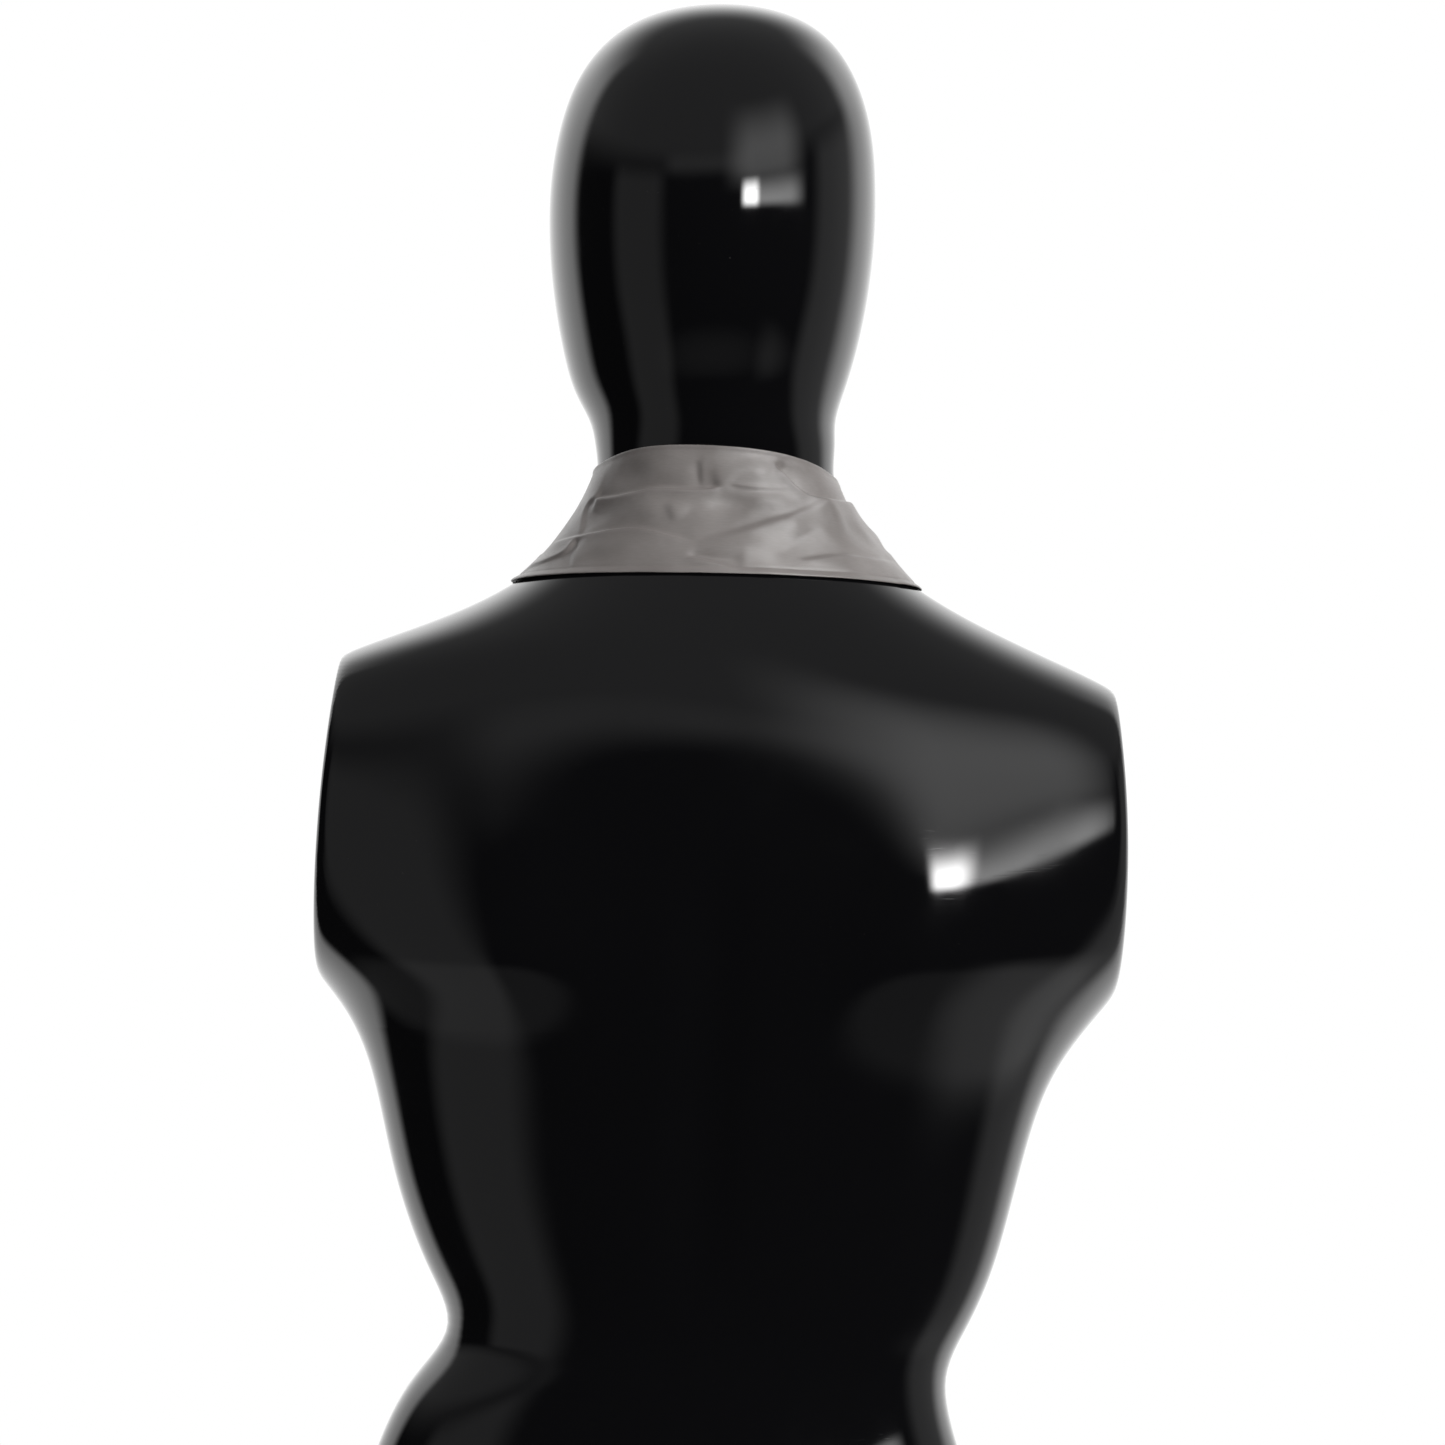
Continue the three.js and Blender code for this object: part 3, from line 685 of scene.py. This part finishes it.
def build_tail(name, tail, lift, material):
    length = TAIL_TOP - tail["end"]
    levels = tail["end"] + np.concatenate([
        np.arange(0, TAIL_HEM, TAIL_HEM_ROW),
        np.arange(TAIL_HEM, length, TAIL_ROW),
        [length, length + INTO_KNOT],
    ])
    half = np.concatenate([np.arange(0, SIDE_HEM, SIDE_HEM_COLUMN),
                           np.linspace(SIDE_HEM, 1, TAIL_COLUMNS)])
    shares = np.concatenate([half - 1, (1 - half[:-1])[::-1]])
    level, share = np.meshgrid(levels, shares, indexing="ij")
    middle, half_width = tail_spread(tail, level)
    x = middle + share * half_width
    below_top = np.clip((TAIL_TOP - level) / length, 0, 1)
    height = level + tail["lean"] * share * half_width * below_top
    y = chest_depth(x, height) + REST + TAIL_WALL + fan_relief(x, height) + lift(x, height)
    grid = np.stack([x, y, height], axis=2)
    from_edge = np.minimum((1 - np.abs(share)) * half_width, level - tail["end"])
    down = TAIL_TOP - level
    relief = hem_relief(from_edge) * smooth_step(*HEM_COMES_IN, down)
    relief += soft_ripples(grid, *TAIL_RIPPLE) * smooth_step(*RIPPLE_FADE, down)
    grid = grid + surface_normals(grid) * relief[..., None]
    return cloth_piece(name, grid, TAIL_WALL, material)


# ---------- the knot ----------
KNOT_BOTTOM = 529
KNOT_TOP = 572
KNOT_HALF_WIDTH = 19
KNOT_DEPTH = 25
KNOT_BACK = 59                  # y of the back of its top, clear of the throat
KNOT_SWAY = 8.5                 # how much further forward its bottom lies, on the chest
KNOT_CORNERS = 2.6              # fullness of its sections, where 2 is an ellipse
KNOT_ENDS = 0.62                # size of its top and bottom, as a share of its middle's
KNOT_TUCK = 3                   # how far the back draws in towards a point at both
KNOT_PLEAT = 15                 # degrees from one pleat of the wrap to the next
KNOT_PLEAT_DEPTH = 0.9
KNOT_FAN = (34, 536)            # the wrap's pleats run from here: right of the neck, and height
KNOT_STRAY = (3, 9)             # degrees that a pleat strays, and over what length
KNOT_FRONT = (-0.2, 0.6)        # from its sides to its front, where the pleats come in
KNOT_ROWS = 90
KNOT_COLUMNS = 140
KNOT_POLE = 0.02                # how far round from its ends the first and last ring lie


def build_knot(material):
    """One plump wrap of silk, with the pleats of its last turn across the front."""
    swings = np.linspace(KNOT_POLE, math.pi - KNOT_POLE, KNOT_ROWS)
    angles = np.linspace(0, 2 * math.pi, KNOT_COLUMNS, endpoint=False)
    swing, angle = np.meshgrid(swings, angles, indexing="ij")
    share = (1 - np.cos(swing)) / 2
    plump = KNOT_ENDS + (1 - KNOT_ENDS) * np.sin(swing) ** 0.7
    back = KNOT_BACK + KNOT_SWAY * (1 - share) ** 1.3 + KNOT_TUCK * (1 - plump)
    x = NECK_SHIFT + KNOT_HALF_WIDTH * plump * rounded_power(np.cos(angle), KNOT_CORNERS)
    y = back + KNOT_DEPTH * plump * (rounded_power(np.sin(angle), KNOT_CORNERS) + 1) / 2
    height = KNOT_BOTTOM + (KNOT_TOP - KNOT_BOTTOM) * share
    facing = smooth_step(*KNOT_FRONT, np.sin(angle)) * np.sin(swing) ** 0.5
    fan_right, fan_height = KNOT_FAN
    bearing = np.degrees(np.arctan2(height - fan_height, NECK_SHIFT + fan_right - x))
    stray, length = KNOT_STRAY
    uneven = bearing + stray * np.sin(x / length)
    pleats = KNOT_PLEAT_DEPTH * np.cos(2 * math.pi * uneven / KNOT_PLEAT)
    y = y + facing * pleats
    return lofted_piece("scarf_knot", np.stack([x, y, height], axis=2), material)


# ---------- materials ----------
def new_material(name, **sockets):
    """A Principled material with its constant values on the shader's own sockets."""
    material = bpy.data.materials.new(name)
    material.use_nodes = True
    shader = material.node_tree.nodes["Principled BSDF"]
    for socket, value in sockets.items():
        shader.inputs[socket.replace("_", " ")].default_value = value
    return material, material.node_tree, shader


def add_node(tree, kind, **values):
    node = tree.nodes.new(kind)
    for key, value in values.items():
        setattr(node, key, value)
    return node


def math_node(tree, operation, first, second=None, third=None):
    node = add_node(tree, "ShaderNodeMath", operation=operation)
    for socket, value in zip(node.inputs, (first, second, third)):
        if value is None:
            continue
        if isinstance(value, (int, float)):
            socket.default_value = value
        else:
            tree.links.new(value, socket)
    return node.outputs[0]


def noise_node(tree, vector, scale, detail):
    node = add_node(tree, "ShaderNodeTexNoise")
    node.inputs["Scale"].default_value = scale
    node.inputs["Detail"].default_value = detail
    tree.links.new(vector, node.inputs["Vector"])
    return node.outputs["Fac"]


def map_range(tree, value, from_low, from_high, to_low, to_high):
    node = add_node(tree, "ShaderNodeMapRange", interpolation_type="SMOOTHSTEP")
    tree.links.new(value, node.inputs["Value"])
    limits = (from_low, from_high, to_low, to_high)
    for socket, limit in zip(("From Min", "From Max", "To Min", "To Max"), limits):
        node.inputs[socket].default_value = limit
    return node.outputs["Result"]


def blend_colours(tree, factor, first, second):
    node = add_node(tree, "ShaderNodeMix", data_type="RGBA")
    tree.links.new(factor, node.inputs["Factor"])
    for socket, colour in zip((node.inputs[6], node.inputs[7]), (first, second)):
        if isinstance(colour, tuple):
            socket.default_value = (*colour, 1)
        else:
            tree.links.new(colour, socket)
    return node.outputs[2]


THREAD_PITCH = 0.00024          # metres from one row of threads to the next
SLUB_AMOUNT = 0.8
SLUBS_PER_METRE = (240, 1300, 1)    # along the cloth and across it
ROW_HEIGHT = 0.3
FLOAT_HEIGHT = 0.2
FLOAT_SLANT = (0.4, 0.2)        # how the floats step along the cloth and across it
# the silk's darker and lighter colours: the blend between them carries the slubs' own tone and a
# painted sheen mottling
SILK_DEEP = (0.182, 0.164, 0.156)
SILK_LIGHT = (0.280, 0.257, 0.248)
LACQUER_BLACK = (0.006, 0.006, 0.007)
DUST_GREY = (0.22, 0.21, 0.2)


def satin_weave_group():
    """Satin weave: long floats of silk across fine rows, with slubs here and there."""
    group = bpy.data.node_groups.new("satin weave", "ShaderNodeTree")
    for name, kind in (("Thread Pitch", "NodeSocketFloat"), ("Slub Amount", "NodeSocketFloat")):
        group.interface.new_socket(name, in_out="INPUT", socket_type=kind)
    for name in ("Height", "Shade"):
        group.interface.new_socket(name, in_out="OUTPUT", socket_type="NodeSocketFloat")
    start = group.nodes.new("NodeGroupInput")
    end = group.nodes.new("NodeGroupOutput")
    place = add_node(group, "ShaderNodeUVMap", uv_map="cloth")
    split = add_node(group, "ShaderNodeSeparateXYZ")
    group.links.new(place.outputs["UV"], split.inputs[0])
    turns = math_node(group, "DIVIDE", 2 * math.pi, start.outputs["Thread Pitch"])
    rows = math_node(group, "SINE", math_node(group, "MULTIPLY", split.outputs["Y"], turns))
    slant_along, slant_across = FLOAT_SLANT
    steps = math_node(group, "ADD",
                      math_node(group, "MULTIPLY", split.outputs["X"], slant_along),
                      math_node(group, "MULTIPLY", split.outputs["Y"], slant_across))
    floats = math_node(group, "SINE", math_node(group, "MULTIPLY", steps, turns))
    weave = math_node(group, "MULTIPLY_ADD", rows, ROW_HEIGHT,
                      math_node(group, "MULTIPLY", floats, FLOAT_HEIGHT))
    stretch = add_node(group, "ShaderNodeMapping")
    stretch.inputs["Scale"].default_value = SLUBS_PER_METRE
    group.links.new(place.outputs["UV"], stretch.inputs["Vector"])
    slubs = noise_node(group, stretch.outputs[0], 1.0, 3.0)
    slubs = math_node(group, "MULTIPLY", math_node(group, "SUBTRACT", slubs, 0.5),
                      start.outputs["Slub Amount"])
    group.links.new(math_node(group, "ADD", weave, slubs), end.inputs["Height"])
    group.links.new(math_node(group, "MULTIPLY_ADD", slubs, 0.5, 0.5), end.inputs["Shade"])
    return group


def silk_material(name, weave, deep, light):
    """Warm grey satin silk: a soft broad sheen, partly painted into its colour as mottling, over a
    fine weave.
    """
    material, tree, shader = new_material(
        name, Roughness=0.4, IOR=1.5, Specular_IOR_Level=0.9, Sheen_Weight=0.02, Sheen_Roughness=0.4)
    place = add_node(tree, "ShaderNodeTexCoord").outputs["Object"]
    cloth = add_node(tree, "ShaderNodeGroup", node_tree=weave)
    cloth.inputs["Thread Pitch"].default_value = THREAD_PITCH
    cloth.inputs["Slub Amount"].default_value = SLUB_AMOUNT
    # painted sheen: broad lighter and darker patches in the colour that stand in for the satin's
    # soft highlights; the threads' share below is the slubs' own tone
    painted_sheen_mottle = noise_node(tree, place, 26.0, 3.0)
    threads = math_node(tree, "MULTIPLY", cloth.outputs["Shade"], 0.4)
    tone = math_node(tree, "MULTIPLY_ADD", painted_sheen_mottle, 0.6, threads)
    colour = blend_colours(tree, map_range(tree, tone, 0.3, 0.7, 0.0, 1.0), deep, light)
    tree.links.new(colour, shader.inputs["Base Color"])
    rough = map_range(tree, noise_node(tree, place, 60.0, 2.0), 0.3, 0.7, 0.35, 0.45)
    tree.links.new(rough, shader.inputs["Roughness"])
    bump = add_node(tree, "ShaderNodeBump")
    bump.inputs["Strength"].default_value = 0.3
    bump.inputs["Distance"].default_value = 0.0001
    tree.links.new(cloth.outputs["Height"], bump.inputs["Height"])
    tree.links.new(bump.outputs[0], shader.inputs["Normal"])
    return material


def lacquer_material():
    """Glossy black lacquer, with faint waviness, fine scratches and a little dust."""
    material, tree, shader = new_material("black lacquer", IOR=1.5)
    place = add_node(tree, "ShaderNodeTexCoord").outputs["Object"]
    dust = map_range(tree, noise_node(tree, place, 900.0, 1.0), 0.80, 0.84, 0.0, 1.0)
    patches = map_range(tree, noise_node(tree, place, 9.0, 2.0), 0.55, 0.75, 0.0, 1.0)
    dust = math_node(tree, "MULTIPLY", dust, patches)
    colour = blend_colours(tree, dust, LACQUER_BLACK, DUST_GREY)
    tree.links.new(colour, shader.inputs["Base Color"])
    cloudy = map_range(tree, noise_node(tree, place, 22.0, 4.0), 0.35, 0.75, 0.045, 0.12)
    tree.links.new(cloudy, shader.inputs["Roughness"])
    stretch = add_node(tree, "ShaderNodeMapping")
    stretch.inputs["Scale"].default_value = (60, 60, 900)
    stretch.inputs["Rotation"].default_value = (0.3, 0.5, 0.2)
    tree.links.new(place, stretch.inputs["Vector"])
    scratches = map_range(tree, noise_node(tree, stretch.outputs[0], 1.0, 1.0), 0.7, 0.76, 0.0, 1.0)
    waves = noise_node(tree, place, 16.0, 1.0)
    height = math_node(tree, "MULTIPLY_ADD", scratches, -0.02, waves)
    bump = add_node(tree, "ShaderNodeBump")
    bump.inputs["Strength"].default_value = 0.12
    bump.inputs["Distance"].default_value = 0.001
    tree.links.new(height, bump.inputs["Height"])
    tree.links.new(bump.outputs[0], shader.inputs["Normal"])
    return material


def floor_material():
    material, _, _ = new_material("pale floor", Base_Color=(0.86, 0.86, 0.86, 1), Roughness=0.8)
    return material


# ---------- the studio ----------
# These are in metres and degrees. Azimuth is 0 towards the camera's side and grows to the right.
FLOOR_RADIUS = 0.28
FLOOR_CORNERS = 128
LAMP_AZIMUTH = 43
LAMP_ELEVATION = 32
LAMP_DISTANCE = 3.0
LAMP_SIZE = 1.1
LAMP_ENERGY = 46
LAMP_AIM = 0.58                 # the height it points at, the middle of the scarf
CAMERA_DISTANCE = 2.8
CAMERA_HEIGHT = 0.478
VIEW_WIDTH = 0.737              # how much the camera takes in across, where the form stands


def build_floor():
    """A round pale board, just wide enough to stand the form on."""
    swings = np.linspace(0, 2 * math.pi, FLOOR_CORNERS, endpoint=False)
    rim = FLOOR_RADIUS * np.stack([np.cos(swings), np.sin(swings), 0 * swings], axis=1)
    mesh = bpy.data.meshes.new("floor")
    mesh.from_pydata(rim.tolist(), [], [tuple(range(len(swings)))])
    mesh.materials.append(floor_material())
    floor = bpy.data.objects.new("floor", mesh)
    bpy.context.scene.collection.objects.link(floor)


def soft_panel_group():
    """How much of a soft-edged panel a direction meets, from 0 to 1; all sizes are in degrees."""
    group = bpy.data.node_groups.new("soft panel", "ShaderNodeTree")
    names = ("Azimuth", "Elevation", "Left", "Right", "Low", "High",
             "Side Blur", "Low Blur", "High Blur")
    for name in names:
        group.interface.new_socket(name, in_out="INPUT", socket_type="NodeSocketFloat")
    group.interface.new_socket("Mask", in_out="OUTPUT", socket_type="NodeSocketFloat")
    start = group.nodes.new("NodeGroupInput")
    end = group.nodes.new("NodeGroupOutput")

    def soft_edge(larger, smaller, blur):
        past = math_node(group, "SUBTRACT", start.outputs[larger], start.outputs[smaller])
        share = math_node(group, "DIVIDE", past, start.outputs[blur])
        return map_range(group, share, -0.5, 0.5, 0.0, 1.0)

    across = math_node(group, "MULTIPLY", soft_edge("Azimuth", "Left", "Side Blur"),
                       soft_edge("Right", "Azimuth", "Side Blur"))
    upright = math_node(group, "MULTIPLY", soft_edge("Elevation", "Low", "Low Blur"),
                        soft_edge("High", "Elevation", "High Blur"))
    group.links.new(math_node(group, "MULTIPLY", across, upright), end.inputs["Mask"])
    return group


# A panel's row holds its left and right ends, its low and high ends, the blur of its sides, low
# end and high end, and its strength.
STUDIO_PANELS = {
    "ceiling": (-999, 999, 20, 999, 1, 14, 1, 0.26),
    "ceiling light": (-32, 24, 16, 22, 16, 7, 8, 0.24),
    "window": (16, 64, 12, 34, 26, 10, 28, 1.4),
    "low window": (26, 66, 5, 10, 18, 3, 8, 5.0),
    "window glare": (21, 32, 5, 11, 6, 3, 6, 30.0),
    "right wall": (84, 126, -60, 18, 16, 14, 10, 0.35),
    "floor light": (50, 110, -70, -34, 24, 14, 12, 0.36),
    "floor": (-999, 999, -999, -38, 1, 1, 8, 0.12),
    "left wall": (-76, -36, -60, 16, 14, 16, 8, 0.26),
    "back wall, left": (-999, -118, -60, 42, 14, 20, 30, 1.35),
    "back wall, right": (124, 999, -60, 42, 20, 20, 30, 1.35),
    "dim room": (-999, 999, -999, 999, 1, 1, 1, 0.012),
}


def build_world():
    """Soft panels of light all round, dim where the camera stands; the backdrop reads as white."""
    world = bpy.data.worlds.new("studio")
    bpy.context.scene.world = world
    world.use_nodes = True
    tree = world.node_tree
    background = tree.nodes["Background"]
    direction = add_node(tree, "ShaderNodeSeparateXYZ")
    tree.links.new(add_node(tree, "ShaderNodeTexCoord").outputs["Generated"], direction.inputs[0])
    backwards = math_node(tree, "MULTIPLY", direction.outputs["Y"], -1.0)
    round_form = math_node(tree, "ARCTAN2", direction.outputs["X"], backwards)
    azimuth = math_node(tree, "DEGREES", round_form)
    elevation = math_node(tree, "DEGREES", math_node(tree, "ARCSINE", direction.outputs["Z"]))
    panel_group = soft_panel_group()
    total = None
    for name, row in STUDIO_PANELS.items():
        panel = add_node(tree, "ShaderNodeGroup", node_tree=panel_group, label=name)
        tree.links.new(azimuth, panel.inputs["Azimuth"])
        tree.links.new(elevation, panel.inputs["Elevation"])
        for socket, value in zip(list(panel.inputs)[2:], row):
            socket.default_value = value
        lit = math_node(tree, "MULTIPLY", panel.outputs["Mask"], row[-1])
        total = lit if total is None else math_node(tree, "ADD", total, lit)
    seen = add_node(tree, "ShaderNodeLightPath").outputs["Is Camera Ray"]
    level = add_node(tree, "ShaderNodeMix", data_type="FLOAT")
    tree.links.new(seen, level.inputs["Factor"])
    tree.links.new(total, level.inputs["A"])
    level.inputs["B"].default_value = 1.0
    tree.links.new(level.outputs["Result"], background.inputs["Strength"])
    background.inputs["Color"].default_value = (1, 1, 1, 1)


def build_window_light(cloth):
    """Soft daylight from the window's side, on the cloth; the lacquer mirrors only the panels."""
    lamp = bpy.data.lights.new("window light", "AREA")
    lamp.shape = "DISK"
    lamp.size = LAMP_SIZE
    lamp.energy = LAMP_ENERGY
    window = bpy.data.objects.new("window light", lamp)
    azimuth = math.radians(LAMP_AZIMUTH)
    elevation = math.radians(LAMP_ELEVATION)
    level = math.cos(elevation)
    towards = Vector((math.sin(azimuth) * level, -math.cos(azimuth) * level, math.sin(elevation)))
    window.location = towards * LAMP_DISTANCE + Vector((0, 0, LAMP_AIM))
    window.rotation_euler = towards.to_track_quat("Z", "Y").to_euler()
    window.visible_camera = False
    bpy.context.scene.collection.objects.link(window)
    lit = bpy.data.collections.new("lit by the window")
    for piece in cloth:
        lit.objects.link(piece)
    window.light_linking.receiver_collection = lit


def build_camera():
    """Level with the shoulder blades, straight behind the form, as far off as a portrait lens."""
    camera = bpy.data.cameras.new("camera")
    camera.angle = 2 * math.atan(VIEW_WIDTH / 2 / CAMERA_DISTANCE)
    eye = bpy.data.objects.new("camera", camera)
    eye.location = (0, -CAMERA_DISTANCE, CAMERA_HEIGHT)
    eye.rotation_euler = (math.pi / 2, 0, 0)
    bpy.context.scene.collection.objects.link(eye)
    bpy.context.scene.camera = eye


# ---------- the part ----------
build_camera()
weave = satin_weave_group()
silk = silk_material("grey silk satin", weave, SILK_DEEP, SILK_LIGHT)
lacquer = lacquer_material()

form = build_form(lacquer)
band = build_band(silk)
knot = build_knot(silk)
tail_under = build_tail("scarf_tail_under", TAIL_UNDER, no_lift, silk)
tail_over = build_tail("scarf_tail_over", TAIL_OVER, over_tail_lift, silk)

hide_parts("form")
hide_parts("neck_band")
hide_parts("knot")
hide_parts("tail_under")
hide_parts("tail_over")
for piece in (form, band, knot, tail_under, tail_over):
    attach(piece, "root")

build_floor()
build_world()
build_window_light([band, knot, tail_under, tail_over])
bpy.context.scene.view_settings.view_transform = "Standard"
